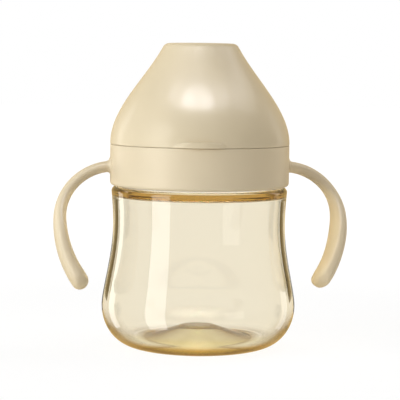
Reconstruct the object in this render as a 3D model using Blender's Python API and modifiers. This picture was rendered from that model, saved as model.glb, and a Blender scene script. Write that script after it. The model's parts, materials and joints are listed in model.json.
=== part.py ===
"""A two-handled sippy cup: amber bottle, screw collar with handles, soft spout and domed cap.

Units are metres and +Z is up. The origin is the middle of the standing ring, the handles lie along X,
and the front of the cup faces -Y.
"""
import math

import bmesh
import bpy
from mathutils import Vector

MM = 0.001

# Fits
SEAT_GAP = 0.3 * MM  # between two pieces that rest on one another
RUN_GAP = 0.4 * MM  # round a piece that turns or lifts past another

# Bottle: heights are above the surface that the cup stands on
FOOT_RADIUS = 24.8 * MM  # outer edge of the flat standing ring
FOOT_WIDTH = 3.4 * MM
PUNT_RISE = 5.0 * MM  # kick-up under the floor
PUNT_TOP_RADIUS = 6.0 * MM
FLOOR_THICKNESS = 2.6 * MM
BELLY_RADIUS = 38.2 * MM
BELLY_HEIGHT = 16.0 * MM
BELLY_PULL = 6.0 * MM  # how far the side stays upright above the belly
WAIST_RADIUS = 33.9 * MM
WAIST_HEIGHT = 48.3 * MM
WAIST_PULL = 12.7 * MM  # how far the side stays upright below the waist
SHOULDER_HEIGHT = 62.9 * MM
SHOULDER_LEDGE = 3.6 * MM  # from the neck out to the shoulder's edge
SHOULDER_ROUND = 1.8 * MM
SHOULDER_DEPTH = 3.2 * MM  # plastic between the shoulder's top and the hollow
BOTTLE_WALL = 2.0 * MM
NECK_RADIUS = 31.0 * MM
NECK_WALL = 2.4 * MM
NECK_HEIGHT = 10.1 * MM
RIM_ROUND = 0.5 * MM

# Seal ring on the bottle's rim
SEAL_THICKNESS = 1.6 * MM
SEAL_SKIRT_WALL = 1.4 * MM
SEAL_SKIRT_DEPTH = 2.2 * MM  # how far the skirt reaches down into the neck

# Carrier: a disc with a raised deck
FLANGE_THICKNESS = 2.0 * MM
DECK_INSET = 4.2 * MM  # from the neck's bore in to the deck's side
DECK_RISE = 5.8 * MM  # deck top above the flange's underside
DECK_THICKNESS = 2.0 * MM
DECK_ROUND = 0.6 * MM

# Screw collar
THREAD_SPACE = 1.8 * MM  # room between the neck and the collar's bore
COLLAR_WALL = 2.4 * MM
COLLAR_ROOF = 2.0 * MM
COLLAR_FOOT_GAP = 0.5 * MM  # open slit above the bottle's shoulder
COLLAR_FOOT_ROUND = 1.4 * MM
EDGE_BREAK = 0.4 * MM  # small chamfers and the edges at the seam
SPIGOT_HEIGHT = 4.0 * MM
SPIGOT_WALL = 2.0 * MM
SNAP_BEAD = 0.2 * MM

# Handles, moulded in one with the collar
HANDLE_RISE = 7.4 * MM  # root's middle above the collar's foot
HANDLE_LEAN = math.radians(13.0)  # both handles lean forwards from their roots
HANDLE_ARCH = 20.6 * MM  # drop from the root to the widest point
HANDLE_LOW_RADIUS = 42.0 * MM  # bend of the grip below the widest point
FINGER_ROOM = 16.8 * MM  # from the belly out to the middle of the grip
TIP_ROOM = 10.6 * MM  # from the belly out to where the tip starts to round off
HANDLE_ROOT_THICKNESS = 4.2 * MM
HANDLE_TIP_THICKNESS = 6.3 * MM
HANDLE_ROOT_WIDTH = 8.0 * MM
HANDLE_GRIP_WIDTH = 20.0 * MM
GRIP_START = 0.3  # parts of the handle's length between which it widens
GRIP_FULL = 0.75
HANDLE_FILLET = 1.2 * MM
HANDLE_TIP_ROUND = 6.0 * MM  # length over which the grip rounds off at the tip

# Domed cap
CAP_HEIGHT = 39.2 * MM
CAP_WALL = 1.8 * MM
CAP_TOP_MARGIN = 4.9 * MM  # from the seal's socket out to the edge of the flat top
CAP_TOP_ROUND = 2.8 * MM
CAP_CONE_ANGLE = math.radians(28.5)  # lean of the side just under the top
CAP_CONE_PULL = 14.0 * MM
CAP_SKIRT_PULL = 13.2 * MM
CAP_TURN = math.radians(-7.0)  # the cap goes on at any angle; here as photographed
LIP_REACH = 1.5 * MM  # thumb lip at the front of the skirt
LIP_HALF_WIDTH = 9.8 * MM
LIP_HEIGHT = 2.2 * MM
LIP_DRAFT = 0.6 * MM

# Seal in the roof of the cap
CAP_SEAL_THICKNESS = 2.4 * MM
CAP_SEAL_MARGIN = 1.2 * MM  # from the spout's tip out to the seal's edge
SOCKET_WALL = 1.2 * MM
SOCKET_DEPTH = 2.2 * MM

# Soft spout: round at the foot and flattened at the tip
SPOUT_HOLE_RADIUS = 8.0 * MM  # in the carrier's deck
SPOUT_FOOT_RADIUS = 10.8 * MM
SPOUT_FOOT_HEIGHT = 2.0 * MM
SPOUT_FLANGE = 1.5 * MM  # how far the button under the deck stands out past the hole
SPOUT_FLANGE_THICKNESS = 1.8 * MM
SPOUT_WALL = 2.0 * MM
SPOUT_TIP_HALF_WIDTH = 7.6 * MM
SPOUT_TIP_HALF_DEPTH = 4.0 * MM
SPOUT_TIP_ROUND = 2.2 * MM
SLIT_LENGTH = 6.0 * MM
SLIT_WIDTH = 0.8 * MM

# Flow valve in the spout's foot
VALVE_RISE = 4.0 * MM
VALVE_WALL = 1.2 * MM
VALVE_RIM = 1.4 * MM  # how far the rim stands out under the spout
VALVE_RIM_THICKNESS = 1.0 * MM
VALVE_SLIT_WIDTH = 0.4 * MM

# Vent valve in the deck
VENT_HOLE_RADIUS = 1.5 * MM
VENT_HEAD_RADIUS = 3.6 * MM
VENT_HEAD_THICKNESS = 0.9 * MM
VENT_KNOB_RADIUS = 2.1 * MM
VENT_KNOB_HEIGHT = 1.6 * MM
VENT_PORT_RADIUS = 0.5 * MM
VENT_PORTS = 4

# Facets
ROUND_STEPS = 48
SMALL_STEPS = 24
ARC_STEPS = 3
HEEL_STEPS = 6
SIDE_STEPS = 6
CAP_STEPS = 10
SPOUT_STATIONS = 6
HANDLE_STATIONS = 11
TIP_STATIONS = 6
SECTION_POINTS = 16
ROOT_SQUARENESS = 2.0  # exponents of the handle's superellipse section
GRIP_SQUARENESS = 3.0
MERGE = 0.00001

# Sizes that follow from the ones above
NECK_BORE = NECK_RADIUS - NECK_WALL
SHOULDER_RADIUS = NECK_RADIUS + SHOULDER_LEDGE
RIM_HEIGHT = SHOULDER_HEIGHT + NECK_HEIGHT
SEAL_SEAT = RIM_HEIGHT + SEAT_GAP
CARRIER_SEAT = SEAL_SEAT + SEAL_THICKNESS + SEAT_GAP
COLLAR_FOOT = SHOULDER_HEIGHT + COLLAR_FOOT_GAP
COLLAR_BORE = NECK_RADIUS + THREAD_SPACE
COLLAR_RADIUS = COLLAR_BORE + COLLAR_WALL
ROOF_UNDERSIDE = CARRIER_SEAT + FLANGE_THICKNESS + SEAT_GAP
LEDGE = ROOF_UNDERSIDE + COLLAR_ROOF
CAP_SEAT = LEDGE + SEAT_GAP
FLANGE_RADIUS = NECK_RADIUS - RUN_GAP
DECK_RADIUS = NECK_BORE - DECK_INSET
DECK_INNER_RADIUS = DECK_RADIUS - DECK_THICKNESS
DECK_TOP = CARRIER_SEAT + DECK_RISE
DECK_UNDERSIDE = DECK_TOP - DECK_THICKNESS
CAP_SEAL_RADIUS = SPOUT_TIP_HALF_WIDTH + CAP_SEAL_MARGIN
SOCKET_RADIUS = CAP_SEAL_RADIUS + SEAT_GAP
CAP_TOP_RADIUS = SOCKET_RADIUS + SOCKET_WALL + CAP_TOP_MARGIN
CAP_CEILING = CAP_HEIGHT - CAP_WALL
CAP_SEAL_SEAT = CAP_SEAT + CAP_CEILING - SEAT_GAP - CAP_SEAL_THICKNESS
SPOUT_SEAT = DECK_UNDERSIDE - SEAT_GAP - SPOUT_FLANGE_THICKNESS
SPOUT_HEIGHT = CAP_SEAL_SEAT - SEAT_GAP - SPOUT_SEAT
SPOUT_BORE = SPOUT_HOLE_RADIUS - SEAT_GAP - SPOUT_WALL
VALVE_SEAT = SPOUT_SEAT - SEAT_GAP - VALVE_RIM_THICKNESS
VENT_OFFSET = (SPOUT_FOOT_RADIUS + DECK_INNER_RADIUS) / 2
VENT_SEAT = DECK_UNDERSIDE - SEAT_GAP - VENT_HEAD_THICKNESS
HANDLE_REACH = BELLY_RADIUS + FINGER_ROOM
HANDLE_TIP_REACH = BELLY_RADIUS + TIP_ROOM

# Base colour, roughness and transmission of each plastic
AMBER = ((0.90, 0.72, 0.36), 0.06, 0.9)
CREAM_GLOSS = ((0.79, 0.68, 0.47), 0.2, 0.0)
CREAM_SATIN = ((0.77, 0.66, 0.46), 0.38, 0.0)
WHITE_SATIN = ((0.82, 0.78, 0.70), 0.4, 0.0)
CLEAR_SILICONE = ((0.86, 0.80, 0.70), 0.45, 0.3)


def lerp(start, end, part):
    return start + (end - start) * part


def smooth(part):
    """0 to 1 with level ends."""
    part = min(max(part, 0.0), 1.0)
    return part * part * (3.0 - 2.0 * part)


def arc(middle, radius, start, end, steps=ARC_STEPS):
    """Points (r, z) of a circular or, with two radii, elliptical arc; angles in degrees from +r to +z."""
    wide, high = radius if isinstance(radius, tuple) else (radius, radius)
    angles = [math.radians(lerp(start, end, i / steps)) for i in range(steps + 1)]
    return [(middle[0] + wide * math.cos(a), middle[1] + high * math.sin(a)) for a in angles]


def bezier(start, start_pull, end_pull, end, steps):
    """Points (r, z) of a cubic curve; a pull is the vector from an end to its control point."""
    points = [Vector(start), Vector(start) + Vector(start_pull), Vector(end) + Vector(end_pull), Vector(end)]
    curve = []
    for i in range(steps + 1):
        t = i / steps
        weights = ((1 - t) ** 3, 3 * t * (1 - t) ** 2, 3 * t * t * (1 - t), t ** 3)
        point = sum((p * w for p, w in zip(points, weights)), Vector((0.0, 0.0)))
        curve.append((point.x, point.y))
    return curve


def inset(curve, depth):
    """A curve that runs downwards on an outer side, moved in towards the axis by depth."""
    moved = []
    for i, (r, z) in enumerate(curve):
        before = Vector(curve[max(i - 1, 0)])
        after = Vector(curve[min(i + 1, len(curve) - 1)])
        along = (after - before).normalized()
        moved.append((r + along.y * depth, z - along.x * depth))
    return moved


def radius_at(curve, height):
    """Radius of a curve that runs downwards, read at a height."""
    for (r0, z0), (r1, z1) in zip(curve, curve[1:]):
        if z1 <= height <= z0:
            return lerp(r0, r1, (z0 - height) / (z0 - z1))
    return curve[-1][0]


def turned(name, profile, steps=ROUND_STEPS):
    """A profile of (r, z) points turned about Z. Its outer side runs from top to bottom."""
    mesh = bpy.data.meshes.new(name)
    edges = [(i, i + 1) for i in range(len(profile) - 1)]
    if profile[0][0] > 0.0:
        edges.append((len(profile) - 1, 0))
    mesh.from_pydata([(r, 0.0, z) for r, z in profile], edges, [])
    piece = bpy.data.objects.new(name, mesh)
    screw = piece.modifiers.new("turn", "SCREW")
    screw.steps = steps
    screw.render_steps = steps
    screw.use_merge_vertices = True
    screw.merge_threshold = MERGE
    return piece


def loft(name, rings):
    """A closed skin over rings of equally many points, from the first ring's cap to the last one's."""
    work = bmesh.new()
    loops = [[work.verts.new(point) for point in ring] for ring in rings]
    count = len(rings[0])
    for low, high in zip(loops, loops[1:]):
        for i in range(count):
            j = (i + 1) % count
            work.faces.new((low[i], low[j], high[j], high[i]))
    work.faces.new(loops[0])
    work.faces.new(loops[-1])
    bmesh.ops.recalc_face_normals(work, faces=work.faces)
    mesh = bpy.data.meshes.new(name)
    work.to_mesh(mesh)
    work.free()
    mesh.shade_smooth()
    mesh.set_sharp_from_angle(angle=math.radians(40))
    return bpy.data.objects.new(name, mesh)


def cylinder(name, radius, height, place, steps=SMALL_STEPS, top_radius=None):
    """A cylinder or cone that stands on its place."""
    work = bmesh.new()
    top_radius = radius if top_radius is None else top_radius
    bmesh.ops.create_cone(
        work, cap_ends=True, segments=steps, radius1=radius, radius2=top_radius, depth=height)
    bmesh.ops.translate(work, verts=work.verts, vec=(0.0, 0.0, height / 2))
    mesh = bpy.data.meshes.new(name)
    work.to_mesh(mesh)
    work.free()
    piece = bpy.data.objects.new(name, mesh)
    piece.location = place
    return piece


def box(name, size, middle):
    work = bmesh.new()
    bmesh.ops.create_cube(work, size=1.0)
    bmesh.ops.scale(work, verts=work.verts, vec=size)
    mesh = bpy.data.meshes.new(name)
    work.to_mesh(mesh)
    work.free()
    piece = bpy.data.objects.new(name, mesh)
    piece.location = middle
    return piece


def combine(piece, helper, operation, helpers):
    """Cut a helper out of a piece, or join it on, and hide the helper."""
    helpers.objects.link(helper)
    helper.parent = piece
    helper.hide_render = True
    helper.display_type = "WIRE"
    change = piece.modifiers.new(helper.name, "BOOLEAN")
    change.operation = operation
    change.solver = "EXACT"
    change.object = helper


def plastic(name, look):
    color, roughness, transmission = look
    material = bpy.data.materials.new(name)
    material.use_nodes = True
    shader = material.node_tree.nodes["Principled BSDF"]
    shader.inputs["Base Color"].default_value = (*color, 1.0)
    shader.inputs["Roughness"].default_value = roughness
    shader.inputs["Metallic"].default_value = 0.0
    shader.inputs["Transmission Weight"].default_value = transmission
    return material


def heel_curve(wall, floor):
    """The rounded heel, from the belly down to the standing ring; wall and floor move it inwards."""
    radii = (BELLY_RADIUS - wall - FOOT_RADIUS, BELLY_HEIGHT - floor)
    return arc((FOOT_RADIUS, BELLY_HEIGHT), radii, 0, -90, HEEL_STEPS)


def side_curve(wall, top):
    """The bottle's side from a height at the shoulder down to the belly, moved in by the wall."""
    shoulder = (SHOULDER_RADIUS - wall, top)
    waist = (WAIST_RADIUS - wall, WAIST_HEIGHT)
    belly = (BELLY_RADIUS - wall, BELLY_HEIGHT)
    flare = (0.0, (top - WAIST_HEIGHT) / 2)
    upper = bezier(shoulder, (0.0, 0.0), flare, waist, ARC_STEPS)
    lower = bezier(waist, (0.0, -WAIST_PULL), (0.0, BELLY_PULL), belly, SIDE_STEPS)
    return upper + lower[1:]


def make_bottle():
    inner_top = SHOULDER_HEIGHT - SHOULDER_DEPTH
    round_top = SHOULDER_HEIGHT - SHOULDER_ROUND
    punt_edge = FOOT_RADIUS - FOOT_WIDTH
    hollow = side_curve(BOTTLE_WALL, inner_top) + heel_curve(BOTTLE_WALL, FLOOR_THICKNESS)[1:]
    hollow += [(punt_edge, FLOOR_THICKNESS), (PUNT_TOP_RADIUS, PUNT_RISE + FLOOR_THICKNESS)]
    hollow += [(0.0, PUNT_RISE + FLOOR_THICKNESS)]
    rim = [(NECK_BORE, inner_top), (NECK_BORE, RIM_HEIGHT - RIM_ROUND), (NECK_BORE + RIM_ROUND, RIM_HEIGHT)]
    rim += [(NECK_RADIUS - RIM_ROUND, RIM_HEIGHT), (NECK_RADIUS, RIM_HEIGHT - RIM_ROUND)]
    shoulder = [(NECK_RADIUS, SHOULDER_HEIGHT)]
    shoulder += arc((SHOULDER_RADIUS - SHOULDER_ROUND, round_top), SHOULDER_ROUND, 90, 0)
    side = side_curve(0.0, round_top)[1:] + heel_curve(0.0, 0.0)[1:]
    base = [(punt_edge, 0.0), (PUNT_TOP_RADIUS, PUNT_RISE), (0.0, PUNT_RISE)]
    return turned("bottle", hollow[::-1] + rim + shoulder + side + base)


def make_seal_ring():
    outer = FLANGE_RADIUS
    skirt = NECK_BORE - SEAT_GAP
    inner = skirt - SEAL_SKIRT_WALL
    profile = [(outer, SEAL_THICKNESS), (outer, 0.0), (skirt, 0.0), (skirt, -SEAL_SKIRT_DEPTH)]
    profile += [(inner, -SEAL_SKIRT_DEPTH), (inner, SEAL_THICKNESS)]
    return turned("seal_ring", profile)


def make_spout_carrier(helpers):
    deck_under = DECK_RISE - DECK_THICKNESS
    profile = [(SPOUT_HOLE_RADIUS, DECK_RISE), (DECK_RADIUS - DECK_ROUND, DECK_RISE)]
    profile += [(DECK_RADIUS, DECK_RISE - DECK_ROUND), (DECK_RADIUS, FLANGE_THICKNESS)]
    profile += [(FLANGE_RADIUS, FLANGE_THICKNESS), (FLANGE_RADIUS, 0.0), (DECK_INNER_RADIUS, 0.0)]
    profile += [(DECK_INNER_RADIUS, deck_under), (SPOUT_HOLE_RADIUS, deck_under)]
    carrier = turned("spout_carrier", profile)
    through = DECK_THICKNESS * 2
    low = deck_under - DECK_THICKNESS / 2
    stem_hole = cylinder("vent_stem_hole", VENT_HOLE_RADIUS, through, (0.0, VENT_OFFSET, low))
    combine(carrier, stem_hole, "DIFFERENCE", helpers)
    port_circle = (VENT_HOLE_RADIUS + VENT_HEAD_RADIUS) / 2
    for i in range(VENT_PORTS):
        angle = math.tau * i / VENT_PORTS
        place = (port_circle * math.cos(angle), VENT_OFFSET + port_circle * math.sin(angle), low)
        port = cylinder(f"vent_port_{i + 1}", VENT_PORT_RADIUS, through, place, steps=8)
        combine(carrier, port, "DIFFERENCE", helpers)
    return carrier


def ellipse(half_width, half_depth, height, count=SMALL_STEPS):
    angles = [math.tau * i / count for i in range(count)]
    return [(half_width * math.cos(a), half_depth * math.sin(a), height) for a in angles]


def make_soft_spout(helpers):
    groove = SPOUT_HOLE_RADIUS - SEAT_GAP
    flange = SPOUT_HOLE_RADIUS + SPOUT_FLANGE
    groove_top = SPOUT_FLANGE_THICKNESS + SEAT_GAP + DECK_THICKNESS + SEAT_GAP
    neck_start = groove_top + SPOUT_FOOT_HEIGHT
    neck_end = SPOUT_HEIGHT - SPOUT_TIP_ROUND

    def neck_ring(part, wall):
        width = lerp(SPOUT_FOOT_RADIUS, SPOUT_TIP_HALF_WIDTH, smooth(part)) - wall
        depth = lerp(SPOUT_FOOT_RADIUS, SPOUT_TIP_HALF_DEPTH, smooth(part)) - wall
        return ellipse(width, depth, lerp(neck_start, neck_end, part))

    bore = [ellipse(SPOUT_BORE, SPOUT_BORE, z) for z in (0.0, groove_top)]
    hollow = bore + [neck_ring(i / SPOUT_STATIONS, SPOUT_WALL) for i in range(SPOUT_STATIONS + 1)]
    foot = [ellipse(r, r, z) for r, z in (
        (flange, 0.0), (flange, SPOUT_FLANGE_THICKNESS), (groove, SPOUT_FLANGE_THICKNESS),
        (groove, groove_top), (SPOUT_FOOT_RADIUS, groove_top))]
    neck = [neck_ring(i / SPOUT_STATIONS, 0.0) for i in range(SPOUT_STATIONS + 1)]
    tip = []
    for inward, z in arc((0.0, neck_end), SPOUT_TIP_ROUND, 0, 90)[1:]:
        taken = SPOUT_TIP_ROUND - inward
        tip.append(ellipse(SPOUT_TIP_HALF_WIDTH - taken, SPOUT_TIP_HALF_DEPTH - taken, z))
    spout = loft("soft_spout", hollow[::-1] + foot + neck + tip)
    slit_size = (SLIT_LENGTH, SLIT_WIDTH, SPOUT_TIP_ROUND * 3)
    combine(spout, box("spout_slit", slit_size, (0.0, 0.0, SPOUT_HEIGHT)), "DIFFERENCE", helpers)
    return spout


def make_flow_valve(helpers):
    outer = SPOUT_BORE - SEAT_GAP
    inner = outer - VALVE_WALL
    top = VALVE_RIM_THICKNESS + SEAT_GAP + VALVE_RISE
    rim = SPOUT_BORE + VALVE_RIM
    profile = [(0.0, top), (outer - EDGE_BREAK, top), (outer, top - EDGE_BREAK)]
    profile += [(outer, VALVE_RIM_THICKNESS), (rim, VALVE_RIM_THICKNESS), (rim, 0.0), (inner, 0.0)]
    profile += [(inner, top - VALVE_WALL), (0.0, top - VALVE_WALL)]
    valve = turned("flow_valve", profile, SMALL_STEPS)
    for name, size in (("slit_x", (inner, VALVE_SLIT_WIDTH)), ("slit_y", (VALVE_SLIT_WIDTH, inner))):
        slit = box(f"valve_{name}", (*size, VALVE_WALL * 2), (0.0, 0.0, top - VALVE_WALL / 2))
        combine(valve, slit, "DIFFERENCE", helpers)
    return valve


def make_vent_valve():
    stem = VENT_HOLE_RADIUS - SEAT_GAP
    stem_top = VENT_HEAD_THICKNESS + SEAT_GAP + DECK_THICKNESS + SEAT_GAP
    knob_top = stem_top + VENT_KNOB_HEIGHT
    profile = [(0.0, knob_top), (stem, knob_top), (VENT_KNOB_RADIUS, stem_top), (stem, stem_top)]
    profile += [(stem, VENT_HEAD_THICKNESS), (VENT_HEAD_RADIUS, VENT_HEAD_THICKNESS)]
    profile += [(stem, 0.0), (0.0, 0.0)]
    return turned("vent_valve", profile, SMALL_STEPS)


def handle_point(part):
    """Middle of the handle's section in the XZ plane, and its outward direction, for part 0 to 1."""
    root = Vector((COLLAR_RADIUS - COLLAR_WALL * 0.6, HANDLE_RISE))
    arch = Vector((HANDLE_REACH - root.x, HANDLE_ARCH))
    sweep = math.acos(1.0 - (HANDLE_REACH - HANDLE_TIP_REACH) / HANDLE_LOW_RADIUS)
    arch_length = (arch.x + arch.y) * math.pi / 4
    run = part * (arch_length + sweep * HANDLE_LOW_RADIUS)
    if run < arch_length:
        a = math.pi / 2 * run / arch_length
        point = root + Vector((arch.x * math.sin(a), arch.y * (math.cos(a) - 1.0)))
        outward = Vector((arch.y * math.sin(a), arch.x * math.cos(a)))
    else:
        a = (run - arch_length) / HANDLE_LOW_RADIUS
        bend = Vector((HANDLE_REACH - HANDLE_LOW_RADIUS, root.y - arch.y))
        point = bend + HANDLE_LOW_RADIUS * Vector((math.cos(a), -math.sin(a)))
        outward = Vector((math.cos(a), -math.sin(a)))
    return point, outward.normalized()


def handle_ring(part, side, flare=0.0, from_end=None):
    """One superellipse section of a handle; side is 1 for +X and -1 for -X.

    Past the path's end, from_end is what is left of the round tip's length.
    """
    point, outward = handle_point(part)
    thickness = lerp(HANDLE_ROOT_THICKNESS, HANDLE_TIP_THICKNESS, part * part) / 2 + flare
    growth = smooth((part - GRIP_START) / (GRIP_FULL - GRIP_START))
    width = lerp(HANDLE_ROOT_WIDTH, HANDLE_GRIP_WIDTH, growth) / 2 + flare
    power = 2 / lerp(ROOT_SQUARENESS, GRIP_SQUARENESS, growth)
    if from_end is not None:
        along = Vector((outward.y, -outward.x))
        point = point + along * (HANDLE_TIP_ROUND - from_end)
        width *= round_off(from_end, HANDLE_TIP_ROUND)
        thickness *= round_off(from_end, HANDLE_TIP_THICKNESS / 2)
    ring = []
    for i in range(SECTION_POINTS):
        a = math.tau * i / SECTION_POINTS
        out = math.copysign(abs(math.cos(a)) ** power, math.cos(a)) * thickness
        across = math.copysign(abs(math.sin(a)) ** power, math.sin(a)) * width
        place = point + outward * out
        drop = place.y - HANDLE_RISE
        ring.append((
            side * place.x,
            across * math.cos(HANDLE_LEAN) + drop * math.sin(HANDLE_LEAN),
            HANDLE_RISE + drop * math.cos(HANDLE_LEAN) - across * math.sin(HANDLE_LEAN)))
    return ring


def round_off(from_end, length):
    """How wide a round end is, from 1 at its start to 0 at its last point."""
    gone = 1.0 - min(from_end / length, 1.0)
    return math.sqrt(1.0 - gone * gone)


def make_handle(name, side):
    rings = [handle_ring(0.0, side, flare=HANDLE_FILLET)]
    rings += [handle_ring(0.05, side, flare=HANDLE_FILLET / 4)]
    rings += [handle_ring(lerp(0.1, 1.0, i / HANDLE_STATIONS), side) for i in range(HANDLE_STATIONS + 1)]
    for i in range(1, TIP_STATIONS):
        left = 1.0 - math.sin(math.pi / 2 * i / TIP_STATIONS)
        rings.append(handle_ring(1.0, side, from_end=HANDLE_TIP_ROUND * left))
    return loft(name, rings)


def make_handle_collar(spigot_radius, helpers):
    roof = ROOF_UNDERSIDE - COLLAR_FOOT
    ledge = LEDGE - COLLAR_FOOT
    spigot_top = ledge + SPIGOT_HEIGHT
    bead = ledge + SPIGOT_HEIGHT / 2
    lip = DECK_RADIUS + RUN_GAP
    inner = spigot_radius - SPIGOT_WALL
    profile = [(spigot_radius - EDGE_BREAK, spigot_top), (spigot_radius, spigot_top - EDGE_BREAK)]
    profile += [(spigot_radius, bead + EDGE_BREAK), (spigot_radius + SNAP_BEAD, bead)]
    profile += [(spigot_radius, bead - EDGE_BREAK), (spigot_radius, ledge)]
    profile += [(COLLAR_RADIUS - EDGE_BREAK, ledge), (COLLAR_RADIUS, ledge - EDGE_BREAK)]
    foot_middle = (COLLAR_RADIUS - COLLAR_FOOT_ROUND, COLLAR_FOOT_ROUND)
    profile += arc(foot_middle, COLLAR_FOOT_ROUND, 0, -90)
    profile += [(COLLAR_BORE + EDGE_BREAK, 0.0), (COLLAR_BORE, EDGE_BREAK), (COLLAR_BORE, roof)]
    profile += [(lip, roof), (lip, ledge), (inner, ledge), (inner, spigot_top)]
    collar = turned("handle_collar", profile)
    for name, side in (("right_handle", 1), ("left_handle", -1)):
        combine(collar, make_handle(name, side), "UNION", helpers)
    return collar


def cap_curve():
    """The cap's outer side, from the rounded top edge down to the skirt's edge."""
    lean = Vector((math.sin(CAP_CONE_ANGLE), -math.cos(CAP_CONE_ANGLE)))
    top_middle = (CAP_TOP_RADIUS - CAP_TOP_ROUND, CAP_HEIGHT - CAP_TOP_ROUND)
    rounded = arc(top_middle, CAP_TOP_ROUND, 90, math.degrees(CAP_CONE_ANGLE))
    side_end = (COLLAR_RADIUS, EDGE_BREAK)
    side = bezier(rounded[-1], lean * CAP_CONE_PULL, (0.0, CAP_SKIRT_PULL), side_end, CAP_STEPS)
    return rounded, side


def make_dome_cap(helpers):
    rounded, side = cap_curve()
    inner = [(r, z) for r, z in inset(side, CAP_WALL) if z < CAP_CEILING - EDGE_BREAK]
    corner = inner[0][0] - (CAP_CEILING - inner[0][1]) * math.tan(CAP_CONE_ANGLE)
    profile = [(0.0, CAP_HEIGHT)] + rounded + side[1:]
    profile += [(COLLAR_RADIUS - EDGE_BREAK, 0.0), (inner[-1][0], 0.0)] + inner[::-1]
    profile += [(corner, CAP_CEILING), (SOCKET_RADIUS + SOCKET_WALL, CAP_CEILING)]
    profile += [(SOCKET_RADIUS + SOCKET_WALL, CAP_CEILING - SOCKET_DEPTH)]
    profile += [(SOCKET_RADIUS, CAP_CEILING - SOCKET_DEPTH), (SOCKET_RADIUS, CAP_CEILING)]
    profile += [(0.0, CAP_CEILING)]
    cap = turned("dome_cap", profile)

    chord = COLLAR_RADIUS - math.sqrt(COLLAR_RADIUS ** 2 - LIP_HALF_WIDTH ** 2)
    swell = chord + LIP_REACH
    lip_radius = (LIP_HALF_WIDTH ** 2 + swell ** 2) / (2 * swell)
    lip_place = (0.0, lip_radius - LIP_REACH - COLLAR_RADIUS, 0.0)
    core_place = (0.0, -lip_place[1], -LIP_HEIGHT)  # measured from the lip
    lip = cylinder("thumb_lip", lip_radius, LIP_HEIGHT, lip_place, ROUND_STEPS, lip_radius - LIP_DRAFT)
    core = cylinder("lip_core", COLLAR_RADIUS - CAP_WALL / 2, LIP_HEIGHT * 3, core_place, ROUND_STEPS)
    combine(cap, lip, "UNION", helpers)
    combine(lip, core, "DIFFERENCE", helpers)
    cap.rotation_euler.z = CAP_TURN
    return cap


def make_cap_seal():
    edge = CAP_SEAL_RADIUS - EDGE_BREAK
    profile = [(0.0, CAP_SEAL_THICKNESS), (edge, CAP_SEAL_THICKNESS)]
    profile += [(CAP_SEAL_RADIUS, CAP_SEAL_THICKNESS - EDGE_BREAK), (CAP_SEAL_RADIUS, EDGE_BREAK)]
    profile += [(edge, 0.0), (0.0, 0.0)]
    return turned("cap_seal", profile, SMALL_STEPS)


def main():
    for old in list(bpy.data.objects):
        bpy.data.objects.remove(old, do_unlink=True)
    parts = bpy.data.collections.new("sippy_cup")
    helpers = bpy.data.collections.new("cutters_and_joins")
    for group in (parts, helpers):
        bpy.context.scene.collection.children.link(group)

    axis = bpy.data.objects.new("cup_axis", None)
    parts.objects.link(axis)

    _, side = cap_curve()
    cap_inner = radius_at(inset(side, CAP_WALL), SPIGOT_HEIGHT)
    spigot_radius = cap_inner - RUN_GAP - SNAP_BEAD

    pieces = (
        (make_bottle(), 0.0, AMBER),
        (make_seal_ring(), SEAL_SEAT, CLEAR_SILICONE),
        (make_spout_carrier(helpers), CARRIER_SEAT, WHITE_SATIN),
        (make_soft_spout(helpers), SPOUT_SEAT, CLEAR_SILICONE),
        (make_flow_valve(helpers), VALVE_SEAT, CLEAR_SILICONE),
        (make_vent_valve(), VENT_SEAT, CLEAR_SILICONE),
        (make_handle_collar(spigot_radius, helpers), COLLAR_FOOT, CREAM_SATIN),
        (make_dome_cap(helpers), CAP_SEAT, CREAM_GLOSS),
        (make_cap_seal(), CAP_SEAL_SEAT, CLEAR_SILICONE),
    )
    for piece, seat, look in pieces:
        parts.objects.link(piece)
        piece.parent = axis
        piece.location.z = seat
        piece.data.materials.append(plastic(piece.name, look))
    bpy.data.objects["vent_valve"].location.y = VENT_OFFSET


main()
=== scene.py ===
"""Looks of the sippy cup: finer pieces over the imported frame, its plastics, the light and the camera.

Units are metres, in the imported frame: +Z up, handles along X, front towards -Y.
"""
import json
import math

import bmesh
import bpy
import numpy as np
from mathutils import Euler, Matrix, Vector


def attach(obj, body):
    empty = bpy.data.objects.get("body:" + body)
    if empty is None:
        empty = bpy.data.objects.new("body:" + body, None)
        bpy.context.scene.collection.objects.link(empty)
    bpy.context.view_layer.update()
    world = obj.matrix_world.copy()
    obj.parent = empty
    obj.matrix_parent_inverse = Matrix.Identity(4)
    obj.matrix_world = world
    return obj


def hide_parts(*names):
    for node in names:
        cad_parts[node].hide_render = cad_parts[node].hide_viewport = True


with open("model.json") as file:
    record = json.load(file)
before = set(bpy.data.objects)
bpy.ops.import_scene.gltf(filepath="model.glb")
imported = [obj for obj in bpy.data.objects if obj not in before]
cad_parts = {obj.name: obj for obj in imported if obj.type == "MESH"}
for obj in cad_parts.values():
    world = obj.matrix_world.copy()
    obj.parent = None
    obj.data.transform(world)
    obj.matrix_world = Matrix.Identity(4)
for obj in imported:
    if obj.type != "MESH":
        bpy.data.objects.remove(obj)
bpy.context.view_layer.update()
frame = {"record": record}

MM = 0.001
STEPS = 192  # facets round a large turned piece
SMALL_STEPS = 96  # round a small one
SAME = 1e-7  # lengths that differ by less are the same
LEAD = 2.0 * MM  # how far off the point is that only gives a path's end its direction
CUT = 1.0 * MM  # how far a cut reaches past what it cuts
FIT_GAP = 0.3 * MM
RUN_GAP = 0.4 * MM

# Small edges, from crisp to soft
CRISP_ROUND = 0.2 * MM
SMALL_ROUND = 0.3 * MM
EDGE_ROUND = 0.4 * MM
SOFT_ROUND = 0.5 * MM

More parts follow.
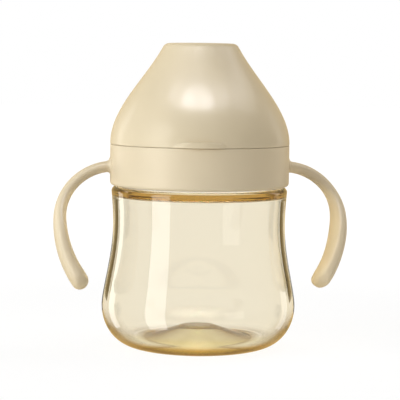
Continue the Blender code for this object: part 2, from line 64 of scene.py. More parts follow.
# Bottle: belly, waist and shoulder are each a radius and a height
FOOT_RADIUS = 24.8 * MM
FOOT_WIDTH = 3.4 * MM
PUNT_RISE = 6.4 * MM
PUNT_TOP_RADIUS = 6.0 * MM
PUNT_ROUND = 0.9 * MM
FLOOR = 1.2 * MM
FLOOR_ROUND = 1.6 * MM
HEEL_SWELL = 1.4 * MM  # how much higher the inner heel would end without its dip to the floor
HEEL_DIP = math.radians(50.0)  # where on the heel that dip starts
GATE_RADIUS = 1.8 * MM
GATE_DROP = 0.8 * MM
BASE_RING = (13.0 * MM, 0.35 * MM)  # radius and height of the moulding step under the base
BELLY = (38.2 * MM, 16.0 * MM)
BELLY_PULL = 6.0 * MM
WAIST = (33.9 * MM, 48.3 * MM)
WAIST_PULL = 12.7 * MM
SHOULDER = (34.6 * MM, 62.9 * MM)
SHOULDER_ROUND = 1.8 * MM
SHOULDER_DEPTH = 3.2 * MM
BOTTLE_WALL = 2.0 * MM
NECK_RADIUS = 31.0 * MM
NECK_BORE = 28.6 * MM
NECK_FOOT_ROUND = 0.6 * MM
RIM = 73.0 * MM
RIM_ROUND = 0.7 * MM

# Thread, at the pitch that the collar's coupling gives
PITCH = frame["record"]["behaviour"]["couplings"][0]["ratio"] * math.tau
THREAD_LOW = 65.2 * MM
THREAD_TURNS = 1.35
THREAD_DEPTH = 1.25 * MM
THREAD_WIDTH = 1.7 * MM
THREAD_FLANK = THREAD_WIDTH / 3
THREAD_RUN_OUT = 0.06  # of a turn, at each end

# Collar and handles
COLLAR_RADIUS = 35.2 * MM
COLLAR_BORE = 32.8 * MM
COLLAR_FOOT = 63.4 * MM
COLLAR_FOOT_ROUND = 1.4 * MM
ROOF = (77.5 * MM, 79.5 * MM)  # underside and top
ROOF_ROUND = 0.6 * MM
ROOF_BORE = 24.8 * MM
SPIGOT_TOP = 83.5 * MM
SPIGOT_WALL = 2.0 * MM
SNAP_BEAD = 0.2 * MM
SNAP_BEAD_HALF = 0.5 * MM
HANDLE_ROOT = (33.76 * MM, 70.8 * MM)  # x and z
HANDLE_LEAN = math.radians(13.0)
HANDLE_REACH = 55.0 * MM
HANDLE_ARCH = 20.6 * MM
HANDLE_LOW_RADIUS = 42.0 * MM
HANDLE_TIP_REACH = 48.8 * MM
HANDLE_THICKNESS = (4.2 * MM, 6.3 * MM)  # at the root and at the grip's end, as the width
HANDLE_WIDTH = (8.0 * MM, 20.0 * MM)
HANDLE_GRIP = (0.3, 0.75)  # the part of its length in which it widens to the grip
HANDLE_POWER = (2.0, 3.0)  # of its section: an ellipse at the root, a rounded box at the grip
HANDLE_FILLET = 1.6 * MM
HANDLE_TIP_ROUND = 6.0 * MM
HANDLE_STEPS = 40
HANDLE_SPANS = ((0.0, 0.07, 12), (0.09, 1.0, 48))  # close rings in the root's fillet, then wider ones
HANDLE_TIP_RINGS = 14

# Cap
CAP_SEAT = 79.8 * MM
CAP_TOP = 119.0 * MM
CAP_WALL = 1.8 * MM
CAP_TOP_RADIUS = 15.2 * MM
CAP_TOP_ROUND = 2.8 * MM
CAP_CONE_ANGLE = math.radians(28.5)
CAP_CONE_PULL = 14.0 * MM
CAP_SKIRT_PULL = 13.2 * MM
CAP_TURN = math.radians(-7.0)
CAP_EDGE = 0.3 * MM
CAP_INNER_ROUND = 0.8 * MM
CAP_REST = 0.2 * MM  # how far the skirt's edge hangs below the cap's seat
LIP_REACH = 1.5 * MM
LIP_HALF_WIDTH = 9.8 * MM
LIP_HEIGHT = 2.2 * MM
LIP_ROUND = 0.3 * MM
LIP_FALL = 4  # power of the fall of its height towards its ends
LIP_WITHIN = 1.0  # radians to each side that are searched for it
SOCKET = (9.1 * MM, 10.3 * MM)  # inner and outer radius
SOCKET_DEPTH = 2.2 * MM
CAP_SEAL = (8.8 * MM, 114.5 * MM, 116.9 * MM)  # radius, underside and top

# Spout, carrier, valves and seal
SEAL_Z = (71.1 * MM, 73.3 * MM, 74.9 * MM)  # the skirt's foot, the seat and the top
SEAL_R = (26.9 * MM, 28.3 * MM, 30.6 * MM)  # the bore, the skirt and the edge
CARRIER_SEAT = 75.2 * MM
FLANGE = (30.6 * MM, 2.0 * MM)  # radius and thickness
DECK = (24.4 * MM, 22.4 * MM)  # outer and inner radius, as the roundings
DECK_TOP = 81.0 * MM
DECK_UNDERSIDE = 79.0 * MM
DECK_ROUNDS = (0.9 * MM, 0.6 * MM)
PORTS = 4
PORT_RADIUS = 0.5 * MM
PORT_CIRCLE = 2.55 * MM
SPOUT_HOLE = 8.0 * MM
SPOUT_SEAT = 76.9 * MM
SPOUT_TIP = 114.2 * MM
SPOUT_FLANGE = (1.5 * MM, 1.8 * MM)  # reach past the hole, and thickness
SPOUT_FOOT_RADIUS = 10.8 * MM
SPOUT_FOOT_HEIGHT = 2.0 * MM
SPOUT_FOOT_ROUND = 0.6 * MM
SPOUT_TIP_HALF = (7.6 * MM, 4.0 * MM)  # half its width and depth
SPOUT_TIP_ROUND = 2.2 * MM
SPOUT_WALL = 2.0 * MM
SPOUT_BORE = 5.7 * MM
SPOUT_SLIT = (6.0 * MM, 0.8 * MM, 6.6 * MM)  # along x, y and z
SPOUT_STEPS = 64
SPOUT_ROWS = 33
VALVE_SEAT = 75.6 * MM
VALVE_HEIGHT = 5.3 * MM
VALVE_WALL = 1.2 * MM
VALVE_RIM = (1.4 * MM, 1.0 * MM)  # reach past the spout's bore, and thickness
VALVE_SLIT = (0.4 * MM, 2.4 * MM)  # width and depth
VENT_OFFSET = 16.6 * MM
VENT_SEAT = 77.8 * MM
VENT_HOLE = 1.5 * MM
VENT_STEM = (1.2 * MM, 3.5 * MM)  # radius and height, as in the next two
VENT_KNOB = (2.1 * MM, 1.6 * MM)
VENT_UMBRELLA = (3.6 * MM, 0.9 * MM)
VENT_EDGE_ROUND = 0.1 * MM

# Plastics
CREAM = (0.668, 0.574, 0.417)
CAP_CREAM = (0.668, 0.574, 0.412)
WHITE = (0.80, 0.76, 0.66)
SILICONE = (0.84, 0.79, 0.68)
AMBER_IOR = 1.58
AMBER_SOAK = (0.70, 0.53, 0.02, 1.0)
AMBER_DENSITY = 26.0
AMBER_SHADE = (0.94, 0.9, 0.8, 1.0)

# Amber's surfaces: the colour where light leaves, then those where it enters, by height on the outer side.
# Those near the base are darkened where they are seen edge-on: painted shade for their dark outlines, and a
# deeper amber for the longer path through them.
LEAVING_TINT = (0.948, 0.919, 0.843)
INNER_TINT = (1.0, 1.0, 1.0)
WALL_TINT = (0.899, 0.845, 0.711)
CREST_TINT = (0.90, 0.76, 0.45)
SHOULDER_TINT = (0.30, 0.114, 0.0095)
HEEL_TINT = (0.72, 0.375, 0.042)
FOOT_TINT = (0.84, 0.75, 0.48)
BASE_TINT = (0.72, 0.60, 0.29)
# Painted shade: the colour that the amber near the base is darkened towards where it is seen edge-on
PAINTED_EDGE_SHADE = (0.20, 0.115, 0.05)
EDGE_FACING = (0.38, 0.66)  # from where on, and to where, a view counts as edge-on
SIDE_TINTS = ((3.6 * MM, HEEL_TINT), (5.2 * MM, FOOT_TINT), (7.0 * MM, FOOT_TINT), (8.6 * MM, WALL_TINT),
              (59.3 * MM, WALL_TINT), (59.9 * MM, SHOULDER_TINT), (62.2 * MM, SHOULDER_TINT),
              (62.5 * MM, CREST_TINT))
EDGE_SHADE_FADE = (9.0 * MM, 17.0 * MM)  # heights between which the painted edge shade fades out

# Light: soft lamps, and a row of small ones over the cap, each with its turn in degrees and its power
SOFT_DISTANCE = 1.0
SOFT_SIZE = (0.7, 0.7)
DOME_GLOWS = ((-43, 0.006), (-23, 0.027), (-3, 0.066), (17, 0.026), (37, 0.013), (57, 0.009))
GLOW_COLOR = (0.86, 0.88, 1.0)
GLOW_SIZE = (60.0 * MM, 25.0 * MM)
GLOW_HEIGHT = 162.0 * MM
GLOW_REACH = 80.0 * MM
GLOW_SET_BACK = 23.0 * MM
GLOW_TARGET = 27.0 * MM
GLOW_TARGET_TURN = 0.6  # of the lamp's own turn
DOME_HEIGHT = 98.0 * MM
DOME_RADIUS = 27.5 * MM

# Camera, as the photograph was taken
VIEW_DISTANCE = 590.0 * MM
VIEW_HEIGHT = 108.1 * MM
VIEW_AZIMUTH = math.radians(-7.5)
VIEW_PITCH = math.radians(4.9)
VIEW_YAW = math.radians(0.03)
VIEW_ROLL = math.radians(0.66)
LENS = 135.0
SENSOR = 36.0
CLIP_START = 10.0 * MM
MIDDLE = (0.0, 0.0, 60.0 * MM)


def lerp(start, end, part):
    return start + (end - start) * part


def smooth(part):
    part = np.clip(part, 0.0, 1.0)
    return part * part * (3.0 - 2.0 * part)


def arc(middle, radius, start, end, steps):
    wide, high = radius if isinstance(radius, tuple) else (radius, radius)
    angles = np.radians(np.linspace(start, end, steps + 1))
    return [(middle[0] + wide * math.cos(a), middle[1] + high * math.sin(a)) for a in angles]


def bezier(start, start_pull, end_pull, end, steps):
    points = [Vector(start), Vector(start) + Vector(start_pull), Vector(end) + Vector(end_pull), Vector(end)]
    curve = []
    for t in np.linspace(0.0, 1.0, steps + 1):
        weights = ((1 - t) ** 3, 3 * t * (1 - t) ** 2, 3 * t * t * (1 - t), t ** 3)
        point = sum((p * float(w) for p, w in zip(points, weights)), Vector((0.0, 0.0)))
        curve.append((point.x, point.y))
    return curve


def rounded(corners, steps=5):
    """A closed path through (r, z) corners; a corner's third number is the radius it is rounded with."""
    path = []
    for i, corner in enumerate(corners):
        here = Vector(corner[:2])
        if len(corner) == 2:
            path.append(tuple(here))
            continue
        to_last = (Vector(corners[i - 1][:2]) - here).normalized()
        to_next = (Vector(corners[(i + 1) % len(corners)][:2]) - here).normalized()
        half = to_last.angle(to_next) / 2
        middle = here + (to_last + to_next).normalized() * corner[2] / math.sin(half)
        first = here + to_last * corner[2] / math.tan(half) - middle
        last = here + to_next * corner[2] / math.tan(half) - middle
        sweep = first.angle_signed(last)
        for part in np.linspace(0.0, 1.0, steps + 1):
            turned = first.copy()
            turned.rotate(Matrix.Rotation(-sweep * part, 2))
            path.append(tuple(middle + turned))
    return path


def inset(curve, depth):
    """A curve that runs downwards on an outer side, moved in towards the axis by depth."""
    moved = []
    for i, (r, z) in enumerate(curve):
        before = Vector(curve[max(i - 1, 0)])
        after = Vector(curve[min(i + 1, len(curve) - 1)])
        along = (after - before).normalized()
        moved.append((r + along.y * depth, z - along.x * depth))
    return moved


def rows_between(low, high, radius, count):
    """Evenly spaced profile points on an upright wall, from one height to another."""
    return [(radius, z) for z in np.linspace(low, high, count)]


def rows_flat(z, radius):
    """Profile points on a flat top, between its middle and its edge."""
    return [(radius * part, z) for part in (0.25, 0.5, 0.75)]


def new_piece(name, verts, faces, sharp=35.0):
    mesh = bpy.data.meshes.new(name)
    mesh.from_pydata([tuple(map(float, v)) for v in verts], [], faces)
    work = bmesh.new()
    work.from_mesh(mesh)
    bmesh.ops.recalc_face_normals(work, faces=work.faces)
    work.to_mesh(mesh)
    work.free()
    mesh.shade_smooth()
    mesh.set_sharp_from_angle(angle=math.radians(sharp))
    piece = bpy.data.objects.new(name, mesh)
    bpy.context.scene.collection.objects.link(piece)
    return piece


def lathe(name, profile, steps=STEPS, warp=None, sharp=35.0):
    """A profile of (r, z) points turned about Z. warp(r, z, angles) may move a ring's radius."""
    solid = profile[0][0] < SAME
    rows = profile[1:-1] if solid else profile
    angles = np.arange(steps) * math.tau / steps
    verts = []
    for r, z in rows:
        ring = np.full(steps, r) if warp is None else warp(r, z, angles)
        verts += list(zip(ring * np.cos(angles), ring * np.sin(angles), np.full(steps, z)))
    faces = []
    for i in range(len(rows) - (1 if solid else 0)):
        here = i * steps
        there = (i + 1) % len(rows) * steps
        for j in range(steps):
            k = (j + 1) % steps
            faces.append((here + j, here + k, there + k, there + j))
    if solid:
        for row, (_, z) in ((0, profile[0]), (len(rows) - 1, profile[-1])):
            pole = len(verts)
            verts.append((0.0, 0.0, z))
            faces += [(pole, row * steps + j, row * steps + (j + 1) % steps) for j in range(steps)]
    return new_piece(name, verts, faces, sharp)


def loft(name, rings, sharp=35.0):
    """A closed skin over rings of equally many points, with a flat face at each end."""
    count = len(rings[0])
    verts = [point for ring in rings for point in ring]
    faces = [tuple(range(count)), tuple(range(len(verts) - count, len(verts)))]
    for i in range(len(rings) - 1):
        for j in range(count):
            k = (j + 1) % count
            faces.append((i * count + j, i * count + k, (i + 1) * count + k, (i + 1) * count + j))
    return new_piece(name, verts, faces, sharp)


def combine(piece, tools, operation, sharp=35.0):
    """Join tools onto a piece or cut them out of it, for good, and remove the tools."""
    for tool in tools:
        change = piece.modifiers.new(tool.name, "BOOLEAN")
        change.operation = operation
        change.solver = "EXACT"
        change.object = tool
    graph = bpy.context.evaluated_depsgraph_get()
    mesh = bpy.data.meshes.new_from_object(piece.evaluated_get(graph))
    piece.modifiers.clear()
    old = piece.data
    piece.data = mesh
    bpy.data.meshes.remove(old)
    for tool in tools:
        bpy.data.meshes.remove(tool.data)
    mesh.shade_smooth()
    mesh.set_sharp_from_angle(angle=math.radians(sharp))
    mesh.name = piece.name
    return piece


def thread(z, angles, shift):
    """Height of the thread's ridge, 0 to 1, at a height and round the turn."""
    best = np.zeros_like(angles)
    for turn in range(math.ceil(THREAD_TURNS)):
        run = angles / math.tau + turn
        middle = THREAD_LOW + shift + PITCH * run
        side = smooth((THREAD_WIDTH / 2 - np.abs(z - middle)) / THREAD_FLANK)
        ends = smooth(run / THREAD_RUN_OUT) * smooth((THREAD_TURNS - run) / THREAD_RUN_OUT)
        best = np.maximum(best, side * ends)
    return best


def heel_curve(wall, floor):
    radii = (BELLY[0] - wall - FOOT_RADIUS, BELLY[1] - floor)
    return arc((FOOT_RADIUS, BELLY[1]), radii, 0, -90, steps=24)


def inner_heel_curve():
    """The inner heel stays thick along the side and dips to a thin floor at the standing ring."""
    curve = heel_curve(BOTTLE_WALL, FLOOR + HEEL_SWELL)
    angles = np.linspace(0.0, math.pi / 2, len(curve))
    dips = smooth((angles - HEEL_DIP) / (math.pi / 2 - HEEL_DIP)) * HEEL_SWELL
    return [(r, z - dip) for (r, z), dip in zip(curve, dips)]


def side_curve(wall, top):
    shoulder = (SHOULDER[0] - wall, top)
    waist = (WAIST[0] - wall, WAIST[1])
    belly = (BELLY[0] - wall, BELLY[1])
    upper = bezier(shoulder, (0.0, 0.0), (0.0, (top - WAIST[1]) / 2), waist, steps=12)
    lower = bezier(waist, (0.0, -WAIST_PULL), (0.0, BELLY_PULL), belly, steps=28)
    return upper + lower[1:]


def make_bottle():
    inner_top = SHOULDER[1] - SHOULDER_DEPTH
    inner_radius = SHOULDER[0] - BOTTLE_WALL
    round_top = SHOULDER[1] - SHOULDER_ROUND
    punt_edge = FOOT_RADIUS - FOOT_WIDTH
    floor_top = PUNT_RISE + FLOOR
    gate_foot = PUNT_RISE - GATE_DROP
    ring = PUNT_RISE * (punt_edge - BASE_RING[0]) / (punt_edge - PUNT_TOP_RADIUS)
    below_round = inner_top - 0.7 * MM
    rim_foot = RIM - 1.2 * MM
    wall_top = RIM - 1.3 * MM
    wall_foot = SHOULDER[1] + 0.8 * MM
    floor = rounded([(0.0, floor_top), (PUNT_TOP_RADIUS, floor_top, PUNT_ROUND),
                     (punt_edge, FLOOR, FLOOR_ROUND), (FOOT_RADIUS, FLOOR)])
    inner_heel = inner_heel_curve()[::-1][1:-1]
    inner_side = side_curve(BOTTLE_WALL, inner_top)[::-1]
    inner_side = [p for p in inner_side[1:] if p[1] < below_round]
    neck = rounded([(inner_radius, inner_top - LEAD), (inner_radius, inner_top, SOFT_ROUND),
                    (NECK_BORE, inner_top, EDGE_ROUND), (NECK_BORE, RIM, RIM_ROUND),
                    (NECK_RADIUS, RIM, RIM_ROUND), (NECK_RADIUS, rim_foot)])[1:]
    wall = rows_between(wall_top, wall_foot, NECK_RADIUS, count=70)
    foot = rounded([(NECK_RADIUS, SHOULDER[1] + LEAD), (NECK_RADIUS, SHOULDER[1], NECK_FOOT_ROUND),
                    (SHOULDER[0], SHOULDER[1])])[1:-1]
    edge = arc((SHOULDER[0] - SHOULDER_ROUND, round_top), SHOULDER_ROUND, 90, 0, steps=8)
    side = side_curve(0.0, round_top)[1:] + heel_curve(0.0, 0.0)[1:-1]
    base = rounded([(BELLY[0], 0.0), (FOOT_RADIUS, 0.0), (punt_edge, 0.0, PUNT_ROUND),
                    (BASE_RING[0], ring), (BASE_RING[0] - BASE_RING[1], ring + BASE_RING[1]),
                    (PUNT_TOP_RADIUS, PUNT_RISE, PUNT_ROUND), (GATE_RADIUS, PUNT_RISE, CRISP_ROUND),
                    (GATE_RADIUS - GATE_DROP, gate_foot, CRISP_ROUND), (0.0, gate_foot)])[1:]

    def warp(r, z, angles):
        if abs(r - NECK_RADIUS) > SAME or z < wall_foot:
            return np.full_like(angles, r)
        return r + THREAD_DEPTH * thread(z, angles, 0.0)

    inside = inner_heel + inner_side + neck + wall + foot
    profile = floor[:-1] + inside + edge + side + base
    bottle = lathe("amber_bottle", profile, warp=warp, sharp=60.0)
    tints = [(*BASE_TINT, 1.0)] * len(floor[:-1]) + [(*INNER_TINT, 0.0)] * len(inside)
    heights, colors = zip(*SIDE_TINTS)
    for _, z in edge + side:
        color = [np.interp(z, heights, channel) for channel in zip(*colors)]
        # The alpha is how strongly painted shade darkens this ring where it is seen edge-on
        tints.append((*color, np.interp(z, EDGE_SHADE_FADE, (1.0, 0.0))))
    tints += [(*BASE_TINT, 1.0)] * len(base)
    stain(bottle, tints[1:-1], (tints[0], tints[-1]))
    return bottle


def stain(piece, rows, poles):
    """Gives each ring of a turned piece, and its two poles, the colour and the strength of painted edge shade
    that amber reads.
    """
    layer = piece.data.color_attributes.new("tint", "FLOAT_COLOR", "POINT")
    steps = (len(piece.data.vertices) - len(poles)) // len(rows)
    colors = np.concatenate([np.repeat(np.array(rows), steps, axis=0), np.array(poles)])
    layer.data.foreach_set("color", colors.ravel())


def handle_point(part):
    """Where a handle's middle line is, and which way its outer face looks, in (x, z) before it leans."""
    root = Vector(HANDLE_ROOT)
    reach = Vector((HANDLE_REACH - root.x, HANDLE_ARCH))
    sweep = math.acos(1.0 - (HANDLE_REACH - HANDLE_TIP_REACH) / HANDLE_LOW_RADIUS)
    arch_length = (reach.x + reach.y) * math.pi / 4
    run = part * (arch_length + sweep * HANDLE_LOW_RADIUS)
    if run < arch_length:
        a = math.pi / 2 * run / arch_length
        point = root + Vector((reach.x * math.sin(a), reach.y * (math.cos(a) - 1.0)))
        outward = Vector((reach.y * math.sin(a), reach.x * math.cos(a)))
    else:
        a = (run - arch_length) / HANDLE_LOW_RADIUS
        bend = Vector((HANDLE_REACH - HANDLE_LOW_RADIUS, root.y - reach.y))
        point = bend + HANDLE_LOW_RADIUS * Vector((math.cos(a), -math.sin(a)))
        outward = Vector((math.cos(a), -math.sin(a)))
    return point, outward.normalized()


def round_off(from_end, length):
    """How much of its full size a rounded end has at a distance from the end."""
    gone = 1.0 - min(from_end / length, 1.0)
    return math.sqrt(max(1.0 - gone * gone, 0.0))


def handle_ring(part, side, from_end=None):
    point, outward = handle_point(part)
    past_wall = max(point.x - COLLAR_RADIUS, 0.0)
    flare = HANDLE_FILLET * (1.0 - round_off(past_wall, HANDLE_FILLET))
    growth = float(smooth((part - HANDLE_GRIP[0]) / (HANDLE_GRIP[1] - HANDLE_GRIP[0])))
    thickness = lerp(*HANDLE_THICKNESS, part * part) / 2 + flare
    width = lerp(*HANDLE_WIDTH, growth) / 2 + flare
    power = 2.0 / lerp(*HANDLE_POWER, growth)
    if from_end is not None:
        along = Vector((outward.y, -outward.x))
        point = point + along * (HANDLE_TIP_ROUND - from_end)
        width *= round_off(from_end, HANDLE_TIP_ROUND)
        thickness *= round_off(from_end, HANDLE_THICKNESS[1] / 2)
    ring = []
    for a in np.arange(HANDLE_STEPS) * math.tau / HANDLE_STEPS:
        out = math.copysign(abs(math.cos(a)) ** power, math.cos(a)) * thickness
        across = math.copysign(abs(math.sin(a)) ** power, math.sin(a)) * width
        place = point + outward * out
        drop = place.y - HANDLE_ROOT[1]
        ring.append((side * place.x,
                     across * math.cos(HANDLE_LEAN) + drop * math.sin(HANDLE_LEAN),
                     HANDLE_ROOT[1] + drop * math.cos(HANDLE_LEAN) - across * math.sin(HANDLE_LEAN)))
    return ring


def make_handle(name, side):
    parts = [part for span in HANDLE_SPANS for part in np.linspace(*span)]
    rings = [handle_ring(part, side) for part in parts]
    for i in range(1, HANDLE_TIP_RINGS):
        left = 1.0 - math.sin(math.pi / 2 * i / HANDLE_TIP_RINGS)
        rings.append(handle_ring(1.0, side, from_end=HANDLE_TIP_ROUND * left))
    return loft(name, rings)


def cap_curve():
    """The cap's outer side above its seat: the rounded top edge, and the side down to the skirt's edge."""
    height = CAP_TOP - CAP_SEAT
    lean = Vector((math.sin(CAP_CONE_ANGLE), -math.cos(CAP_CONE_ANGLE)))
    top_middle = (CAP_TOP_RADIUS - CAP_TOP_ROUND, height - CAP_TOP_ROUND)
    edge = arc(top_middle, CAP_TOP_ROUND, 90, math.degrees(CAP_CONE_ANGLE), steps=10)
    skirt_edge = (COLLAR_RADIUS, CAP_EDGE)
    side = bezier(edge[-1], lean * CAP_CONE_PULL, (0.0, CAP_SKIRT_PULL), skirt_edge, steps=72)
    return edge, side


def make_collar():
    _, side = cap_curve()
    inner = inset(side, CAP_WALL)
    level = min(inner, key=lambda p: abs(p[1] - (SPIGOT_TOP - ROOF[1])))
    spigot = level[0] - RUN_GAP - SNAP_BEAD
    bead = (SPIGOT_TOP + ROOF[1]) / 2
    bore = spigot - SPIGOT_WALL
    wall_top = ROOF[1] - 1.0 * MM
    wall_foot = COLLAR_FOOT + 1.8 * MM
    thread_foot = COLLAR_FOOT + 0.6 * MM
    thread_top = ROOF[0] - 0.8 * MM
    outer = rounded([(bore, SPIGOT_TOP, SOFT_ROUND), (spigot, SPIGOT_TOP, SOFT_ROUND),
                     (spigot, bead + SNAP_BEAD_HALF), (spigot + SNAP_BEAD, bead),
                     (spigot, bead - SNAP_BEAD_HALF), (spigot, ROOF[1], SMALL_ROUND),
                     (COLLAR_RADIUS, ROOF[1], SMALL_ROUND),
                     (COLLAR_RADIUS, COLLAR_FOOT + 2 * LEAD)], steps=6)[:-1]
    wall = rows_between(wall_top, wall_foot, COLLAR_RADIUS, count=12)
    foot = rounded([(COLLAR_RADIUS, COLLAR_FOOT + LEAD), (COLLAR_RADIUS, COLLAR_FOOT, COLLAR_FOOT_ROUND),
                    (COLLAR_BORE, COLLAR_FOOT, EDGE_ROUND), (COLLAR_BORE, COLLAR_FOOT + LEAD)], steps=8)[1:-1]
    thread_rows = rows_between(thread_foot, thread_top, COLLAR_BORE, count=80)
    roof = rounded([(COLLAR_BORE, ROOF[0] - LEAD), (COLLAR_BORE, ROOF[0], ROOF_ROUND),
                    (ROOF_BORE, ROOF[0], EDGE_ROUND), (ROOF_BORE, ROOF[1], EDGE_ROUND),
                    (bore, ROOF[1], EDGE_ROUND), (bore, SPIGOT_TOP)])[1:-1]

    def warp(r, z, angles):
        if abs(r - COLLAR_BORE) > SAME:
            return np.full_like(angles, r)
        return r - THREAD_DEPTH * thread(z, angles, PITCH / 2)

    collar = lathe("screw_collar", outer + wall + foot + thread_rows + roof, warp=warp)
    return combine(collar, [make_handle("right_handle", 1), make_handle("left_handle", -1)], "UNION")


def make_cap():
    edge, side = cap_curve()
    height = CAP_TOP - CAP_SEAT
    ceiling = height - CAP_WALL
    below_round = ceiling - 1.2 * MM
    inner = [(r, z) for r, z in inset(side, CAP_WALL) if z < below_round]
    corner = inner[0][0] - (ceiling - inner[0][1]) * math.tan(CAP_CONE_ANGLE)
    # Rows of the outer side lie close together round the lip's upper edge
    upper = [(r, z) for r, z in side[1:] if z > LIP_HEIGHT + 0.4 * MM]
    lip_rows = list(np.linspace(LIP_HEIGHT + 0.3 * MM, LIP_HEIGHT + 0.02 * MM, 4))
    lip_rows += [LIP_HEIGHT - LIP_ROUND * (1 - math.cos(a)) for a in np.linspace(0.1, math.pi / 2, 8)]
    lip_rows += list(np.linspace(LIP_HEIGHT - 0.5 * MM, CAP_EDGE, 8))
    radii, heights = zip(*side[::-1])
    low_side = [(float(np.interp(z, heights, radii)), z) for z in lip_rows]
    low = CAP_EDGE - CAP_REST
    foot = arc((COLLAR_RADIUS - CAP_EDGE, low), CAP_EDGE, 0, -90, steps=6)
    bottom = [(inner[-1][0] + SMALL_ROUND, -CAP_REST), (inner[-1][0], SMALL_ROUND)]
    socket_foot = ceiling - SOCKET_DEPTH
    socket = rounded([(corner + LEAD, ceiling - LEAD), (corner, ceiling, CAP_INNER_ROUND),
                      (SOCKET[1], ceiling), (SOCKET[1], socket_foot, SMALL_ROUND),
                      (SOCKET[0], socket_foot, SMALL_ROUND), (SOCKET[0], ceiling), (0.0, ceiling)])[1:]
    outside = [(0.0, height)] + rows_flat(height, edge[0][0]) + edge + upper + low_side
    profile = outside + foot + bottom + inner[::-1] + socket
    chord = COLLAR_RADIUS - math.sqrt(COLLAR_RADIUS ** 2 - LIP_HALF_WIDTH ** 2)
    swell = chord + LIP_REACH
    lip_radius = (LIP_HALF_WIDTH ** 2 + swell ** 2) / (2 * swell)
    lip_middle = COLLAR_RADIUS + LIP_REACH - lip_radius

    def warp(r, z, angles):
        ring = np.full_like(angles, r)
        if z > LIP_HEIGHT or r < COLLAR_RADIUS - CAP_EDGE - SAME:
            return ring
        away = angles + math.pi / 2 - CAP_TURN
        away = (away + math.pi) % math.tau - math.pi
        inside = lip_radius ** 2 - (lip_middle * np.sin(away)) ** 2
        lip = lip_middle * np.cos(away) + np.sqrt(np.maximum(inside, 0.0))
        lip = np.where((inside > 0) & (np.abs(away) < LIP_WITHIN), lip, 0.0)
        share = np.minimum(np.abs(away) * COLLAR_RADIUS / LIP_HALF_WIDTH, 1.0)
        drop = LIP_HEIGHT * np.sqrt(1.0 - share ** LIP_FALL) - z
        inward = COLLAR_RADIUS - r if z < low else 0.0
        return ring + np.maximum(lip - inward - ring, 0.0) * smooth(drop / LIP_ROUND)

    cap = lathe("domed_cap", profile, warp=warp, steps=STEPS * 2, sharp=50.0)
    cap.location.z = CAP_SEAT
    return cap


def make_cap_seal():
    radius, low, high = CAP_SEAL
    profile = rounded([(0.0, high), (radius, high, SOFT_ROUND), (radius, low, SOFT_ROUND), (0.0, low)])
    return lathe("roof_seal", profile, SMALL_STEPS)


def make_seal_ring():
    bottom, seat, top = SEAL_Z
    inner, skirt, outer = SEAL_R
    profile = rounded([(outer, top, EDGE_ROUND), (outer, seat, EDGE_ROUND), (skirt, seat, CRISP_ROUND),
                       (skirt, bottom, SOFT_ROUND), (inner, bottom, SOFT_ROUND), (inner, top, EDGE_ROUND)])
    return lathe("rim_seal", profile)


def cylinder(name, radius, low, high, middle=(0.0, 0.0), steps=32):
    angles = np.arange(steps) * math.tau / steps
    rings = [[(middle[0] + radius * math.cos(a), middle[1] + radius * math.sin(a), z) for a in angles]
             for z in (low, high)]
    return loft(name, rings)


def slab(name, size, middle):
    corners = ((-1, -1), (1, -1), (1, 1), (-1, 1))
    rings = [[(middle[0] + x * size[0] / 2, middle[1] + y * size[1] / 2, middle[2] + side * size[2] / 2)
              for x, y in corners] for side in (-1, 1)]
    return loft(name, rings)


def make_carrier():
    radius, thick = FLANGE
    outer, inner = DECK
    outer_round, inner_round = DECK_ROUNDS
    flange_top = CARRIER_SEAT + thick
    profile = rounded([(SPOUT_HOLE, DECK_TOP, SMALL_ROUND), (outer, DECK_TOP, outer_round),
                       (outer, flange_top, SMALL_ROUND), (radius, flange_top, EDGE_ROUND),
                       (radius, CARRIER_SEAT, EDGE_ROUND), (inner, CARRIER_SEAT, EDGE_ROUND),
                       (inner, DECK_UNDERSIDE, inner_round), (SPOUT_HOLE, DECK_UNDERSIDE, SMALL_ROUND)])
    carrier = lathe("spout_disc", profile)
    low = DECK_UNDERSIDE - CUT
    high = DECK_TOP + CUT
    tools = [cylinder("stem_hole", VENT_HOLE, low, high, (0.0, VENT_OFFSET))]
    for i in range(PORTS):
        a = math.tau * i / PORTS
        place = (PORT_CIRCLE * math.cos(a), VENT_OFFSET + PORT_CIRCLE * math.sin(a))
        tools.append(cylinder(f"port_{i + 1}", PORT_RADIUS, low, high, place, steps=16))
    return combine(carrier, tools, "DIFFERENCE")


